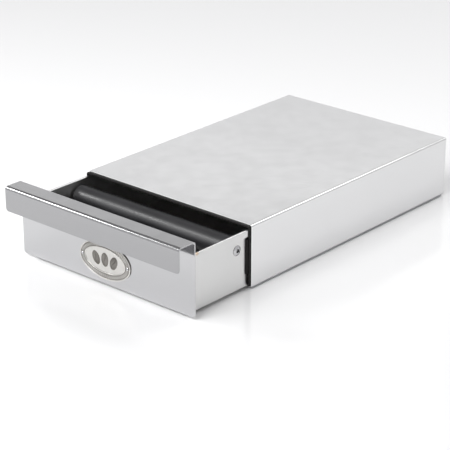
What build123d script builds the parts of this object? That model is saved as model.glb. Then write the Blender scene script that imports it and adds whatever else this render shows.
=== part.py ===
from build123d import *
import os

# Espresso knock box: a sheet-steel drawer with a rubber knock bar, sliding in a flat steel casing.
# Millimetres. +Z is up, the drawer opens towards -Y, and +X is on the right of someone facing the drawer.
# The origin is the middle of the footprint on the counter, with the drawer pulled part way out.
# A size whose name ends in _Z is a height above the casing's underside, unless it is worked out below.

# Casing
CASING_WIDTH = 253.4
CASING_DEPTH = 373.4
CASING_HEIGHT = 75.0
CASING_SHEET = 1.0
CASING_BEND = 2.5
BOTTOM_FLANGE = 20.0
REAR_FLANGE = 12.0
BASE_SHEET = 0.8
BASE_INSET = 1.3
BASE_CORNER = 4.0
BACK_PANEL_MARGIN = 0.2
BACK_PANEL_FOOT = 14.0
FOOT_RADIUS = 9.0
FOOT_STAND = 1.4
FOOT_CHAMFER = 0.4
FOOT_INSET_X = 26.0
FOOT_INSET_Y = 24.0

# Trim round the opening
TRIM_PROUD = 3.2
TRIM_DEPTH = 12.0
TRIM_LEG = 0.5
TRIM_TOP = 1.8
TRIM_INNER_BEND = 1.0
TRIM_TIP_ROUND = 2.0

# Drawer front: one sheet bent into panel, top flange and lip
DRAWER_OPEN = 99.8
FRONT_SHEET = 1.5
FRONT_WIDTH = 266.4
FRONT_BOTTOM = 1.0
FRONT_TOP = 90.0
FLANGE_DEPTH = 24.5
LIP_BOTTOM = 60.5
FRONT_CORNER = 4.0
PANEL_BEND = 3.5
LIP_BEND = 4.0

# Drawer tray
TRAY_SHEET = 1.0
TRAY_HALF_WIDTH = 122.8
TRAY_BOTTOM = 1.5
TRAY_TOP = 70.4
TRAY_BEND = 2.5
HEM_GAP = 1.0
HEM_HEIGHT = 8.0
END_FLANGE = 12.0
END_WALL_TOP = 66.0

# Knock bar
BAR_BEHIND_PANEL = 79.8
BAR_HEIGHT = 50.5
BAR_RADIUS = 14.0
BAR_END_ROUND = 1.2
BAR_CORE_RADIUS = 8.0
WASHER_THICKNESS = 2.3
WASHER_RADIUS = 11.0
SCREW_RADIUS = 3.0
SCREW_LENGTH = 25.0
SCREW_HEAD_RADIUS = 6.0
SCREW_HEAD_HEIGHT = 1.9
SCREW_SOCKET_DEPTH = 1.3
SCREW_HOLE_GAP = 0.2
HEX_ACROSS_FLATS = 4.0

# Plastic runners on the tray sides, glide tapes under it, and pads on its back wall
RUNNER_BOTTOM = 17.5
RUNNER_TOP = 59.5
RUNNER_THICKNESS = 2.0
RUNNER_CHAMFER = 0.4
RUNNER_START = 92.5
RUNNER_END = 16.0
TAPE_THICKNESS = 0.3
TAPE_WIDTH = 12.0
TAPE_FROM_FLANGE = 2.0
TAPE_FRONT = 8.0
TAPE_REAR = 18.0
TILT_PAD_MARGIN = 7.0
TILT_PAD_THICKNESS = 4.0
TILT_PAD_LAP = 9.0
TILT_PAD_GAP = 0.5

# Screws, nuts, rivets, studs and welds
BACK_SCREW_RADIUS = 2.0
BACK_SCREW_LENGTH = 8.0
BACK_SCREW_HOLE = 2.2
BACK_SCREW_HEAD_RADIUS = 3.8
BACK_SCREW_HEAD_HEIGHT = 2.0
BACK_SCREW_SOCKET_DEPTH = 1.1
BACK_SCREW_FROM_CORNER = 22.0
BACK_SCREW_Z = (14.0, 46.0)
BACK_NUT_HALF = 3.5
BACK_NUT_THICKNESS = 2.4
BASE_RIVET_RADIUS = 1.6
BASE_RIVET_HEAD_RADIUS = 3.2
BASE_RIVET_HEAD_HEIGHT = 0.7
BASE_RIVET_COUNT = 4
BASE_RIVET_FRONT = 14.0
BASE_RIVET_REAR = 26.0
BASE_RIVET_OUTWARD = 2.0
STUD_RADIUS = 2.0
STUD_LENGTH = 7.0
STUD_WELD_DEPTH = 0.5
STUD_X_AND_Z = ((96.0, 18.0), (96.0, 54.0), (32.0, 36.0))
NUT_FLANGE_RADIUS = 4.6
NUT_FLANGE_THICKNESS = 0.8
NUT_ACROSS_FLATS = 7.0
NUT_HEIGHT = 3.2
SMALL_RIVET_RADIUS = 1.2
SMALL_HEAD_RADIUS = 2.4
SMALL_HEAD_HEIGHT = 0.7
END_RIVET_INSET = 6.0
END_RIVET_Z = (11.0, 25.0, 52.0)
RUNNER_RIVET_COUNT = 4
RUNNER_RIVET_INSET = 14.0
RUNNER_RIVET_SINK_RADIUS = 2.6
RUNNER_RIVET_SEAT = 1.0
PAD_RIVET_X = (93.0, 105.0)
PAD_RIVET_HEIGHT = 61.0
WELD_RADIUS = 1.2
WELD_LENGTH = 6.0
WELD_BELOW_RIM = 14.0
WELD_ABOVE_FLOOR = 12.0

# Badge
BADGE_HALF_WIDTH = 39.0
BADGE_HALF_HEIGHT = 22.6
BADGE_CENTRE_Z = 29.7
BADGE_BORDER = 8.5
BADGE_THICKNESS = 0.8
BEZEL_THICKNESS = 0.7
BEZEL_STEP = 0.4
BEZEL_CHAMFER = 0.25
PIN_SHANK = 1.0
PIN_HEAD_RADIUS = 1.9
PIN_HEAD_HEIGHT = 1.1
BEAN_HALF_LENGTH = 8.25
BEAN_HALF_WIDTH = 5.5
BEAN_HEIGHT = 0.85
BEAN_ROUND = 0.65
BEAN_SPACING = 13.6
BEAN_MIDDLE_RISE = 1.0
BEAN_OUTER_DROP = 0.8
BEAN_LEAN = 24.0
CREASE_SWAY = 1.1
CREASE_WIDTH = 0.9
CREASE_DEPTH = 0.4

# Closing buffers and clearances
BUFFER_X = 80.0
BUFFER_CENTRE_Z = 38.0
BUFFER_HEIGHT = 6.0
BUFFER_RADIUS = 8.0
BUFFER_CHAMFER = 1.5
BUFFER_STEM = 3.0
BUFFER_TAIL_LENGTH = 2.0
BUFFER_TAIL_STEP = 1.0
CLOSED_GAP = 0.3
FASTENER_CLEARANCE = 0.05
SEAM_CLEARANCE = 0.05

# A cutter runs this far past the sheet that it cuts
PAST = 1.0
# A half-round fold is this much under half its width, so that its two arcs stay apart
ALMOST = 0.01

# Worked out from the sizes above
CASING_Z = FOOT_STAND + BASE_SHEET
FRONT_Y = (DRAWER_OPEN + FLANGE_DEPTH - CASING_DEPTH) / 2
REAR_Y = FRONT_Y + CASING_DEPTH
PANEL_Y = FRONT_Y - DRAWER_OPEN
PANEL_BACK_Y = PANEL_Y + FRONT_SHEET
HALF = CASING_WIDTH / 2
INNER_HALF = HALF - CASING_SHEET
FLOOR_Z = CASING_Z + CASING_SHEET
BACK_PANEL_Y = REAR_Y - 2 * CASING_SHEET
CLOSING_TRAVEL = DRAWER_OPEN - FRONT_SHEET - TRIM_PROUD - CLOSED_GAP
TRAY_REAR_Y = BACK_PANEL_Y - BUFFER_HEIGHT - CLOSED_GAP - CLOSING_TRAVEL
WALL_OUT = TRAY_HALF_WIDTH
WALL_IN = TRAY_HALF_WIDTH - TRAY_SHEET
TRAY_Z = CASING_Z + TRAY_BOTTOM
TRAY_FLOOR_Z = TRAY_Z + TRAY_SHEET
RIM_Z = CASING_Z + TRAY_TOP
BAR_Y = PANEL_Y + BAR_BEHIND_PANEL
BAR_Z = CASING_Z + BAR_HEIGHT
BEZEL_Y = PANEL_Y - BADGE_THICKNESS
BADGE_Z = CASING_Z + BADGE_CENTRE_Z
RUNNER_Y = PANEL_BACK_Y + RUNNER_START
BUFFER_Z = CASING_Z + BUFFER_CENTRE_Z
PAD_RIVET_Z = CASING_Z + PAD_RIVET_HEIGHT
PIN_X = BADGE_HALF_WIDTH - BADGE_BORDER / 2
SMALL_HOLE = SMALL_RIVET_RADIUS + FASTENER_CLEARANCE

SIDES = (("left", -1), ("right", 1))


def block(x0, x1, y0, y1, z0, z1):
    centre = ((x0 + x1) / 2, (y0 + y1) / 2, (z0 + z1) / 2)
    return Pos(*centre) * Box(abs(x1 - x0), abs(y1 - y0), abs(z1 - z0))


def rod_x(x0, x1, y, z, radius):
    return Pos((x0 + x1) / 2, y, z) * Rot(0, 90, 0) * Cylinder(radius, abs(x1 - x0))


def rod_y(x, y0, y1, z, radius):
    return Pos(x, (y0 + y1) / 2, z) * Rot(90, 0, 0) * Cylinder(radius, abs(y1 - y0))


def rod_z(x, y, z0, z1, radius):
    return Pos(x, y, (z0 + z1) / 2) * Cylinder(radius, abs(z1 - z0))


def group(solids):
    """Separate like pieces kept together as one node."""
    return Compound(children=[piece for item in solids for piece in item.solids()])


def save(shape, node):
    export_step(shape, f"parts/{node}.step")


def dome(radius, height):
    """A low round head on the XY plane: a cap of a sphere, rounded all over its top."""
    sphere = (radius * radius + height * height) / (2 * height)
    return Pos(0, 0, height - sphere) * Sphere(sphere) & Pos(0, 0, height / 2) * Cylinder(radius, height)


def hex_socket(depth, height):
    """The hole of a hexagon key, sunk by depth from the top of a head of that height."""
    profile = RegularPolygon(HEX_ACROSS_FLATS / 2, 6, major_radius=False)
    return Pos(0, 0, height - depth) * extrude(profile, depth + PAST)


def button_screw(head_radius, head_height, socket_depth, radius, length):
    """A button-head screw along Z whose head stands on the XY plane, with its shank below."""
    head = dome(head_radius, head_height) - hex_socket(socket_depth, head_height)
    return head + Pos(0, 0, -length / 2) * Cylinder(radius, length)


# ---------------------------------------------------------------- casing
def casing_block(inset, bend):
    width = CASING_WIDTH - 2 * inset
    height = CASING_HEIGHT - 2 * inset
    body = block(-width / 2, width / 2, FRONT_Y, REAR_Y - inset, CASING_Z + inset, CASING_Z + inset + height)
    along = body.edges().filter_by(Axis.Y)
    behind = body.faces().sort_by(Axis.Y)[-1].edges()
    return fillet(along + behind, bend)


def casing_shell():
    """Top, sides and turned-in flanges folded from one sheet, open in front, below and behind."""
    shell = casing_block(0, CASING_BEND) - casing_block(CASING_SHEET, CASING_BEND - CASING_SHEET)
    flange_in = HALF - BOTTOM_FLANGE
    below = block(-flange_in, flange_in, FRONT_Y - PAST, REAR_Y + PAST, CASING_Z - PAST, FLOOR_Z + PAST)
    window_half = HALF - REAR_FLANGE
    window_top = CASING_Z + CASING_HEIGHT - REAR_FLANGE
    inside_y = REAR_Y - CASING_BEND - PAST
    behind = block(-window_half, window_half, inside_y, REAR_Y + PAST, CASING_Z - PAST, window_top)
    shell = shell - below - behind
    for x, z in back_screw_places():
        shell = shell - rod_y(x, REAR_Y - CASING_SHEET - PAST, REAR_Y + PAST, z, BACK_SCREW_HOLE)
    for x, y in base_rivet_places():
        hole = BASE_RIVET_RADIUS + FASTENER_CLEARANCE
        shell = shell - rod_z(x, y, CASING_Z - PAST, FLOOR_Z + PAST, hole)
    return shell


def back_screw_places():
    side = HALF - REAR_FLANGE / 2
    top = CASING_Z + CASING_HEIGHT - REAR_FLANGE / 2
    along_top = side - BACK_SCREW_FROM_CORNER
    places = [(x, top) for x in (-along_top, 0, along_top)]
    for z in BACK_SCREW_Z:
        places += [(-side, CASING_Z + z), (side, CASING_Z + z)]
    return places


def base_rivet_places():
    x = HALF - BOTTOM_FLANGE / 2 - BASE_RIVET_OUTWARD
    first = FRONT_Y + BASE_RIVET_FRONT
    step = (REAR_Y - BASE_RIVET_REAR - first) / (BASE_RIVET_COUNT - 1)
    return [(sign * x, first + step * i) for i in range(BASE_RIVET_COUNT) for _, sign in SIDES]


def back_panel():
    """A flat sheet inside the rear flanges, with a foot turned forwards over the base plate."""
    lower = CASING_Z + CASING_BEND + BACK_PANEL_MARGIN
    upper = CASING_Z + CASING_HEIGHT - CASING_BEND - BACK_PANEL_MARGIN
    half = HALF - CASING_BEND - BACK_PANEL_MARGIN
    y0 = BACK_PANEL_Y
    y1 = BACK_PANEL_Y + CASING_SHEET
    plate = block(-half, half, y0, y1, lower, upper)
    foot_half = HALF - BOTTOM_FLANGE - 2 * BACK_PANEL_MARGIN
    rise = block(-foot_half, foot_half, y0, y1, CASING_Z, lower + PAST)
    foot = block(-foot_half, foot_half, y0 - BACK_PANEL_FOOT, y1, CASING_Z, FLOOR_Z)
    panel = plate + rise + foot
    for x, z in back_screw_places():
        panel = panel - rod_y(x, y0 - PAST, y1 + PAST, z, BACK_SCREW_HOLE)
    for _, sign in SIDES:
        hole = BUFFER_STEM + FASTENER_CLEARANCE
        panel = panel - rod_y(sign * BUFFER_X, y0 - PAST, y1 + PAST, BUFFER_Z, hole)
    return panel


def back_screws():
    """Button-head screws through the rear flanges."""
    screw = button_screw(
        BACK_SCREW_HEAD_RADIUS,
        BACK_SCREW_HEAD_HEIGHT,
        BACK_SCREW_SOCKET_DEPTH,
        BACK_SCREW_RADIUS,
        BACK_SCREW_LENGTH,
    )
    return group([Pos(x, REAR_Y, z) * Rot(-90, 0, 0) * screw for x, z in back_screw_places()])


def back_nuts():
    """Square weld nuts behind the back panel, one for each screw."""
    nuts = []
    half = BACK_NUT_HALF
    y0 = BACK_PANEL_Y - BACK_NUT_THICKNESS
    y1 = BACK_PANEL_Y
    for x, z in back_screw_places():
        nut = block(x - half, x + half, y0, y1, z - half, z + half)
        nuts.append(nut - rod_y(x, y0 - PAST, y1 + PAST, z, BACK_SCREW_RADIUS + FASTENER_CLEARANCE))
    return group(nuts)


def base_plate():
    half = HALF - BASE_INSET
    y0 = FRONT_Y + BASE_INSET
    y1 = REAR_Y - BASE_INSET
    plate = block(-half, half, y0, y1, CASING_Z - BASE_SHEET, CASING_Z)
    plate = fillet(plate.edges().filter_by(Axis.Z), BASE_CORNER)
    for x, y in base_rivet_places():
        hole = BASE_RIVET_RADIUS + FASTENER_CLEARANCE
        plate = plate - rod_z(x, y, CASING_Z - BASE_SHEET - PAST, CASING_Z + PAST, hole)
    return plate


def base_rivets():
    """Rivets with a thin head below the base plate, set flush above the flanges."""
    rivets = []
    under = CASING_Z - BASE_SHEET
    for x, y in base_rivet_places():
        shank = rod_z(x, y, under, FLOOR_Z, BASE_RIVET_RADIUS)
        head = Pos(x, y, under) * Rot(180, 0, 0) * dome(BASE_RIVET_HEAD_RADIUS, BASE_RIVET_HEAD_HEIGHT)
        rivets.append(shank + head)
    return group(rivets)


def opening_trim():
    """A black moulding that lines the top and sides of the mouth and stands a little in front of it."""
    outer_bend = CASING_BEND - CASING_SHEET
    top = CASING_Z + CASING_HEIGHT - CASING_SHEET
    y0 = FRONT_Y - TRIM_PROUD
    y1 = FRONT_Y + TRIM_DEPTH
    outer = block(-INNER_HALF, INNER_HALF, y0, y1, CASING_Z + CASING_BEND, top)
    outer = fillet(outer.edges().filter_by(Axis.Y).sort_by(Axis.Z)[-2:], outer_bend)
    inner_half = INNER_HALF - TRIM_LEG
    inner = block(-inner_half, inner_half, y0 - PAST, y1 + PAST, FLOOR_Z - PAST, top - TRIM_TOP)
    inner = fillet(inner.edges().filter_by(Axis.Y).sort_by(Axis.Z)[-2:], TRIM_INNER_BEND)
    trim = outer - inner
    tips = trim.edges().filter_by(Axis.X).filter_by(lambda e: e.length < 2 * TRIM_LEG)
    low_front = tips.sort_by(Axis.Z)[:4].sort_by(Axis.Y)[:2]
    return fillet(low_front, TRIM_TIP_ROUND)


def glide_tape(sign):
    """A slippery strip on a bottom flange, under the edge of the tray."""
    x = sign * (HALF - BOTTOM_FLANGE + TAPE_FROM_FLANGE + TAPE_WIDTH / 2)
    y0 = FRONT_Y + TAPE_FRONT
    y1 = BACK_PANEL_Y - TAPE_REAR
    return block(x - TAPE_WIDTH / 2, x + TAPE_WIDTH / 2, y0, y1, FLOOR_Z, FLOOR_Z + TAPE_THICKNESS)


def closing_buffer(sign):
    """A rubber stop whose stem is pulled through the back panel."""
    x = sign * BUFFER_X
    face = rod_y(x, BACK_PANEL_Y - BUFFER_HEIGHT, BACK_PANEL_Y, BUFFER_Z, BUFFER_RADIUS)
    face = chamfer(face.edges().sort_by(Axis.Y)[0], BUFFER_CHAMFER)
    behind = BACK_PANEL_Y + CASING_SHEET
    stem = rod_y(x, BACK_PANEL_Y, behind, BUFFER_Z, BUFFER_STEM)
    tail = rod_y(x, behind, behind + BUFFER_TAIL_LENGTH, BUFFER_Z, BUFFER_STEM + BUFFER_TAIL_STEP)
    return face + stem + tail


def foot(sign_x, sign_y):
    x = sign_x * (HALF - FOOT_INSET_X)
    middle = (FRONT_Y + REAR_Y) / 2
    y = middle + sign_y * (CASING_DEPTH / 2 - FOOT_INSET_Y)
    pad = rod_z(x, y, 0, FOOT_STAND, FOOT_RADIUS)
    return chamfer(pad.edges().sort_by(Axis.Z)[0], FOOT_CHAMFER)


# ---------------------------------------------------------------- drawer
def drawer_front():
    """Panel, top flange and hanging lip, bent from one sheet whose free corners are rounded."""
    half = FRONT_WIDTH / 2
    bottom = CASING_Z + FRONT_BOTTOM
    top = CASING_Z + FRONT_TOP
    lip_y = PANEL_Y - FLANGE_DEPTH
    lip_z = CASING_Z + LIP_BOTTOM
    corners = [(PANEL_BACK_Y, bottom), (PANEL_BACK_Y, top), (lip_y, top), (lip_y, lip_z)]
    path = FilletPolyline(*corners, radius=[PANEL_BEND, LIP_BEND])
    section = make_face(path.offset_2d(FRONT_SHEET, side=Side.LEFT, closed=True))
    sheet = extrude(Plane.YZ.offset(-half) * section, FRONT_WIDTH)
    through = sheet.edges().filter_by(Axis.Y).filter_by(lambda e: e.length < 1.1 * FRONT_SHEET)
    free = [e for e in through if min(abs(e.center().Z - bottom), abs(e.center().Z - lip_z)) < FRONT_SHEET]
    sheet = fillet(free, FRONT_CORNER)
    for x, z in stud_places():
        sheet = sheet - rod_y(x, PANEL_BACK_Y - STUD_WELD_DEPTH, PANEL_BACK_Y + PAST, z, STUD_RADIUS)
    return sheet


def stud_places():
    return [(sign * x, CASING_Z + z) for _, sign in SIDES for x, z in STUD_X_AND_Z]


def front_studs():
    """Studs welded to the back of the panel, which hold the tray."""
    y0 = PANEL_BACK_Y - STUD_WELD_DEPTH
    y1 = PANEL_BACK_Y + STUD_LENGTH
    return group([rod_y(x, y0, y1, z, STUD_RADIUS) for x, z in stud_places()])


def front_nuts():
    """Flanged hexagon nuts on the studs, inside the tray."""
    nuts = []
    hexagon = extrude(RegularPolygon(NUT_ACROSS_FLATS / 2, 6, major_radius=False), NUT_HEIGHT)
    y0 = PANEL_BACK_Y + TRAY_SHEET
    y1 = y0 + NUT_FLANGE_THICKNESS
    y2 = y1 + NUT_HEIGHT
    for x, z in stud_places():
        nut = rod_y(x, y0, y1, z, NUT_FLANGE_RADIUS) + Pos(x, y2, z) * Rot(90, 0, 0) * hexagon
        nuts.append(nut - rod_y(x, y0 - PAST, y2 + PAST, z, STUD_RADIUS + FASTENER_CLEARANCE))
    return group(nuts)


def tray():
    """Floor and sides bent from one sheet, each rim folded outwards and down in an open hem."""
    hem_out = WALL_OUT + HEM_GAP + TRAY_SHEET
    hem_low = RIM_Z - HEM_HEIGHT
    fold = TRAY_SHEET + HEM_GAP / 2 - ALMOST
    corners = [
        (-hem_out, hem_low),
        (-hem_out, RIM_Z),
        (-WALL_IN, RIM_Z),
        (-WALL_IN, TRAY_FLOOR_Z),
        (WALL_IN, TRAY_FLOOR_Z),
        (WALL_IN, RIM_Z),
        (hem_out, RIM_Z),
        (hem_out, hem_low),
    ]
    inner_bend = TRAY_BEND - TRAY_SHEET
    path = FilletPolyline(*corners, radius=[fold, fold, inner_bend, inner_bend, fold, fold])
    section = make_face(path.offset_2d(TRAY_SHEET, side=Side.RIGHT, closed=True))
    length = TRAY_REAR_Y - PANEL_BACK_Y
    sheet = extrude(Plane.XZ.offset(-PANEL_BACK_Y) * section, -length)
    for _, sign in SIDES:
        x0 = sign * (WALL_IN - PAST)
        x1 = sign * (WALL_OUT + PAST)
        sheet = sheet - rod_x(x0, x1, BAR_Y, BAR_Z, SCREW_RADIUS + SCREW_HOLE_GAP)
        for y, z in end_rivet_places() + runner_rivet_places():
            sheet = sheet - rod_x(x0, x1, y, z, SMALL_HOLE)
    return sheet


def end_rivet_places():
    return [(TRAY_REAR_Y - END_RIVET_INSET, CASING_Z + z) for z in END_RIVET_Z]


def runner_rivet_places():
    first = RUNNER_Y + RUNNER_RIVET_INSET
    last = TRAY_REAR_Y - RUNNER_END - RUNNER_RIVET_INSET
    step = (last - first) / (RUNNER_RIVET_COUNT - 1)
    middle = CASING_Z + (RUNNER_BOTTOM + RUNNER_TOP) / 2
    return [(first + step * i, middle) for i in range(RUNNER_RIVET_COUNT)]


def end_wall(y_sheet, turn):
    """A cross wall with both ends turned along the tray sides."""
    half = WALL_IN - SEAM_CLEARANCE
    top = CASING_Z + END_WALL_TOP
    low = TRAY_FLOOR_Z + SEAM_CLEARANCE
    side_low = low + TRAY_BEND
    y_face = y_sheet + turn * TRAY_SHEET
    y_end = y_sheet + turn * END_FLANGE
    wall = block(-half, half, y_sheet, y_face, low, top)
    lower = wall.edges().filter_by(Axis.Y).sort_by(Axis.Z)[:2]
    wall = fillet(lower, TRAY_BEND - TRAY_SHEET)
    for _, sign in SIDES:
        inner = sign * (half - TRAY_SHEET)
        wall = wall + block(inner, sign * half, y_sheet, y_end, side_low, top)
    return wall


def tray_front_wall():
    wall = end_wall(PANEL_BACK_Y, 1)
    for x, z in stud_places():
        hole = STUD_RADIUS + FASTENER_CLEARANCE
        wall = wall - rod_y(x, PANEL_BACK_Y - PAST, PANEL_BACK_Y + TRAY_SHEET + PAST, z, hole)
    return wall


def tray_back_wall():
    wall = end_wall(TRAY_REAR_Y, -1)
    for _, sign in SIDES:
        for y, z in end_rivet_places():
            wall = wall - rod_x(sign * (WALL_IN - TRAY_SHEET - PAST), sign * WALL_OUT, y, z, SMALL_HOLE)
        for x in PAD_RIVET_X:
            y0 = TRAY_REAR_Y - TRAY_SHEET - PAST
            wall = wall - rod_y(sign * x, y0, TRAY_REAR_Y + PAST, PAD_RIVET_Z, SMALL_HOLE)
    return wall


def small_head():
    return dome(SMALL_HEAD_RADIUS, SMALL_HEAD_HEIGHT)


def back_wall_rivets():
    rivets = []
    for _, sign in SIDES:
        for y, z in end_rivet_places():
            inside = WALL_IN - SEAM_CLEARANCE - TRAY_SHEET
            shank = rod_x(sign * inside, sign * WALL_OUT, y, z, SMALL_RIVET_RADIUS)
            outer = Pos(sign * WALL_OUT, y, z) * Rot(0, sign * 90, 0) * small_head()
            inner = Pos(sign * inside, y, z) * Rot(0, -sign * 90, 0) * small_head()
            rivets.append(shank + outer + inner)
    return group(rivets)


def runner(sign):
    """A black strip on the tray side that steadies the drawer between the casing walls."""
    y1 = TRAY_REAR_Y - RUNNER_END
    seat = WALL_OUT + RUNNER_RIVET_SEAT
    out = WALL_OUT + RUNNER_THICKNESS
    z0 = CASING_Z + RUNNER_BOTTOM
    z1 = CASING_Z + RUNNER_TOP
    strip = block(sign * WALL_OUT, sign * out, RUNNER_Y, y1, z0, z1)
    outer_edges = strip.faces().sort_by(Axis.X)[-1 if sign > 0 else 0].edges()
    strip = chamfer(outer_edges, RUNNER_CHAMFER)
    for y, z in runner_rivet_places():
        strip = strip - rod_x(sign * (WALL_OUT - PAST), sign * (out + PAST), y, z, SMALL_HOLE)
        strip = strip - rod_x(sign * seat, sign * (out + PAST), y, z, RUNNER_RIVET_SINK_RADIUS)
    return strip


def runner_rivets(sign):
    """Rivets sunk in the runner, with a thin head inside the tray."""
    rivets = []
    seat = sign * (WALL_OUT + RUNNER_RIVET_SEAT)
    for y, z in runner_rivet_places():
        shank = rod_x(sign * WALL_IN, seat, y, z, SMALL_RIVET_RADIUS)
        sunk = Pos(seat, y, z) * Rot(0, sign * 90, 0) * small_head()
        inner = Pos(sign * WALL_IN, y, z) * Rot(0, -sign * 90, 0) * small_head()
        rivets.append(shank + sunk + inner)
    return group(rivets)


def tilt_pad(sign):
    """A plastic block on the back wall that keeps the rear of the drawer down when it is pulled out."""
    x0 = sign * (PAD_RIVET_X[0] - TILT_PAD_MARGIN)
    x1 = sign * (PAD_RIVET_X[1] + TILT_PAD_MARGIN)
    top = CASING_Z + CASING_HEIGHT - CASING_SHEET - TILT_PAD_GAP
    wall_top = CASING_Z + END_WALL_TOP
    y1 = TRAY_REAR_Y - TRAY_SHEET
    y0 = y1 - TILT_PAD_THICKNESS
    pad = block(x0, x1, y0, y1, wall_top - TILT_PAD_LAP, wall_top)
    pad = pad + block(x0, x1, y0, TRAY_REAR_Y, wall_top, top)
    for x in PAD_RIVET_X:
        pad = pad - rod_y(sign * x, y0 - PAST, y1 + PAST, PAD_RIVET_Z, SMALL_HOLE)
    return pad


def tilt_pad_rivets():
    rivets = []
    y0 = TRAY_REAR_Y - TRAY_SHEET - TILT_PAD_THICKNESS
    for _, sign in SIDES:
        for x in PAD_RIVET_X:
            shank = rod_y(sign * x, y0, TRAY_REAR_Y, PAD_RIVET_Z, SMALL_RIVET_RADIUS)
            head = Pos(sign * x, y0, PAD_RIVET_Z) * Rot(90, 0, 0) * small_head()
            rivets.append(shank + head)
    return group(rivets)


# ---------------------------------------------------------------- knock bar
def bar_core():
    """A steel rod between the tray sides, bored at both ends for its screws."""
    core = rod_x(-WALL_IN, WALL_IN, BAR_Y, BAR_Z, BAR_CORE_RADIUS)
    for _, sign in SIDES:
        x0 = sign * (WALL_IN - SCREW_LENGTH - PAST)
        core = core - rod_x(x0, sign * (WALL_IN + PAST), BAR_Y, BAR_Z, SCREW_RADIUS + FASTENER_CLEARANCE)
    return core


def bar_sleeve():
    end = WALL_IN - WASHER_THICKNESS
    sleeve = rod_x(-end, end, BAR_Y, BAR_Z, BAR_RADIUS)
    sleeve = fillet(sleeve.edges().filter_by(GeomType.CIRCLE), BAR_END_ROUND)
    return sleeve - rod_x(-end - PAST, end + PAST, BAR_Y, BAR_Z, BAR_CORE_RADIUS + FASTENER_CLEARANCE)


def bar_washer(sign):
    x0 = sign * (WALL_IN - WASHER_THICKNESS)
    x1 = sign * WALL_IN
    ring = rod_x(x0, x1, BAR_Y, BAR_Z, WASHER_RADIUS)
    past = sign * PAST
    bore = rod_x(x0 - past, x1 + past, BAR_Y, BAR_Z, BAR_CORE_RADIUS + FASTENER_CLEARANCE)
    return ring - bore


def bar_screw(sign):
    screw = button_screw(
        SCREW_HEAD_RADIUS,
        SCREW_HEAD_HEIGHT,
        SCREW_SOCKET_DEPTH,
        SCREW_RADIUS,
        SCREW_LENGTH - TRAY_SHEET,
    )
    return Pos(sign * WALL_OUT, BAR_Y, BAR_Z) * Rot(0, sign * 90, 0) * screw


# ---------------------------------------------------------------- badge
def oval(half_width, half_height, y, depth):
    """An upright oval plate whose back is at y and which stands forwards by depth."""
    return Pos(0, y, BADGE_Z) * Rot(90, 0, 0) * extrude(Ellipse(half_width, half_height), depth)


def badge_plate():
    plate = oval(BADGE_HALF_WIDTH, BADGE_HALF_HEIGHT, PANEL_Y, BADGE_THICKNESS)
    for _, sign in SIDES:
        hole = PIN_SHANK + FASTENER_CLEARANCE
        plate = plate - rod_y(sign * PIN_X, BEZEL_Y - PAST, PANEL_Y + PAST, BADGE_Z, hole)
    return plate


def badge_bezel():
    """The raised border round the field, which the two pins go through."""
    inner_width = BADGE_HALF_WIDTH - BADGE_BORDER
    inner_height = BADGE_HALF_HEIGHT - BADGE_BORDER
    outer = oval(BADGE_HALF_WIDTH - BEZEL_STEP, BADGE_HALF_HEIGHT - BEZEL_STEP, BEZEL_Y, BEZEL_THICKNESS)
    outer = chamfer(outer.edges().sort_by(Axis.Y)[0], BEZEL_CHAMFER)
    bezel = outer - oval(inner_width, inner_height, BEZEL_Y + PAST, BEZEL_THICKNESS + 2 * PAST)
    for _, sign in SIDES:
        hole = PIN_SHANK + FASTENER_CLEARANCE
        bezel = bezel - rod_y(sign * PIN_X, BEZEL_Y - BEZEL_THICKNESS - PAST, BEZEL_Y + PAST, BADGE_Z, hole)
    return bezel


def bean():
    """A coffee bean on the XY plane with its length along Y: an oval pebble with a wavy crease."""
    pebble = extrude(Ellipse(BEAN_HALF_WIDTH, BEAN_HALF_LENGTH), BEAN_HEIGHT)
    pebble = fillet(pebble.edges().sort_by(Axis.Z)[-1], BEAN_ROUND)
    end = BEAN_HALF_LENGTH + PAST
    bow = BEAN_HALF_LENGTH / 2
    line = Spline((CREASE_SWAY / 2, -end), (-CREASE_SWAY, -bow), (CREASE_SWAY, bow), (-CREASE_SWAY / 2, end))
    crease = extrude(trace(line, CREASE_WIDTH), CREASE_DEPTH + PAST)
    return pebble - Pos(0, 0, BEAN_HEIGHT - CREASE_DEPTH) * crease


def badge_emblem():
    """Three beans in low relief side by side, the outer two lower and leaning outwards."""
    beans = []
    for step in (-1, 0, 1):
        z = BADGE_Z + BEAN_MIDDLE_RISE - abs(step) * BEAN_OUTER_DROP
        place = Pos(step * BEAN_SPACING, BEZEL_Y, z) * Rot(0, step * BEAN_LEAN, 0)
        beans.append(place * Rot(90, 0, 0) * bean())
    return group(beans)


def badge_pins():
    """Round-headed pins pressed through the badge into the panel."""
    pins = []
    face = BEZEL_Y - BEZEL_THICKNESS
    for _, sign in SIDES:
        shank = rod_y(sign * PIN_X, face, PANEL_Y, BADGE_Z, PIN_SHANK)
        head = Pos(sign * PIN_X, face, BADGE_Z) * Rot(90, 0, 0) * dome(PIN_HEAD_RADIUS, PIN_HEAD_HEIGHT)
        pins.append(shank + head)
    return group(pins)


def corner_welds():
    """Small weld beads where the tray sides meet the back of the panel."""
    beads = []
    half = WELD_LENGTH / 2
    reach = 2 * WELD_RADIUS
    for _, sign in SIDES:
        x = sign * WALL_OUT
        for z in (RIM_Z - WELD_BELOW_RIM, TRAY_Z + WELD_ABOVE_FLOOR):
            bead = rod_z(x, PANEL_BACK_Y, z - half, z + half, WELD_RADIUS)
            outside = block(x, x + sign * reach, PANEL_BACK_Y, PANEL_BACK_Y + reach, z - half, z + half)
            beads.append(bead & outside)
    return group(beads)


os.makedirs("parts", exist_ok=True)

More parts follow.
